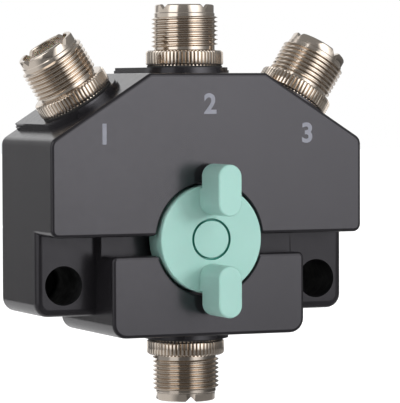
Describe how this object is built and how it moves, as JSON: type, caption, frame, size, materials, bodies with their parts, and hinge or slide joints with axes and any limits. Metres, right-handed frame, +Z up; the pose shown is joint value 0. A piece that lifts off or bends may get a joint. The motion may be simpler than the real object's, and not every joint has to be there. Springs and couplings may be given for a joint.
{
  "type": "coaxial antenna switch",
  "caption": "Wall-mounted coaxial antenna switch: die-cast case with screw-thread sockets on its top, slopes and underside, two ears with screw wells, and a round knob with two wings.",
  "frame": {"origin": "on the knob's axis, in the plane of the case's back", "axes": "+X to the right seen from the front, +Y towards the wall, +Z up towards the middle socket"},
  "size_m": [0.0826, 0.047, 0.0946],
  "materials": {
    "die_cast": "satin gray enamel with a fine cast grain",
    "nickel": "nickel plate, bright",
    "silver": "silver plate, satin",
    "insulation": "white fluoroplastic, waxy",
    "rubber": "matt",
    "brass": "turned",
    "steel": "zinc plate, satin",
    "knob_plastic": "mint green, semi-gloss"
  },
  "bodies": {
    "case": {"housing": "die_cast", "back_cover": "die_cast", "cover_screws": "steel", "shaft_bushing": "brass", "rear_bush": "brass", "stop_pin": "steel", "detent_holder": "brass", "detent_ball": "steel", "detent_spring": "steel", "common_shell": "nickel", "left_shell": "nickel", "middle_shell": "nickel", "right_shell": "nickel", "common_washer": "rubber", "left_washer": "rubber", "middle_washer": "rubber", "right_washer": "rubber", "common_insulator": "insulation", "left_insulator": "insulation", "middle_insulator": "insulation", "right_insulator": "insulation", "common_contact": "silver", "left_contact": "silver", "middle_contact": "silver", "right_contact": "silver", "common_line": "silver", "left_line": "silver", "middle_line": "silver", "right_line": "silver"},
    "rotor": {"knob": "knob_plastic", "knob_cap": "knob_plastic", "knob_screw": "steel", "thrust_washer": "steel", "shaft": "steel", "retaining_ring": "steel", "rotor_hub": "insulation", "rotor_blade": "silver", "detent_disc": "steel"}
  },
  "joints": [
    {"name": "knob_turn", "type": "hinge", "parent": "case", "child": "rotor", "pos_m": [0, 0, 0], "axis": [0, 1, 0], "range_deg": [-45, 45]}
  ]
}
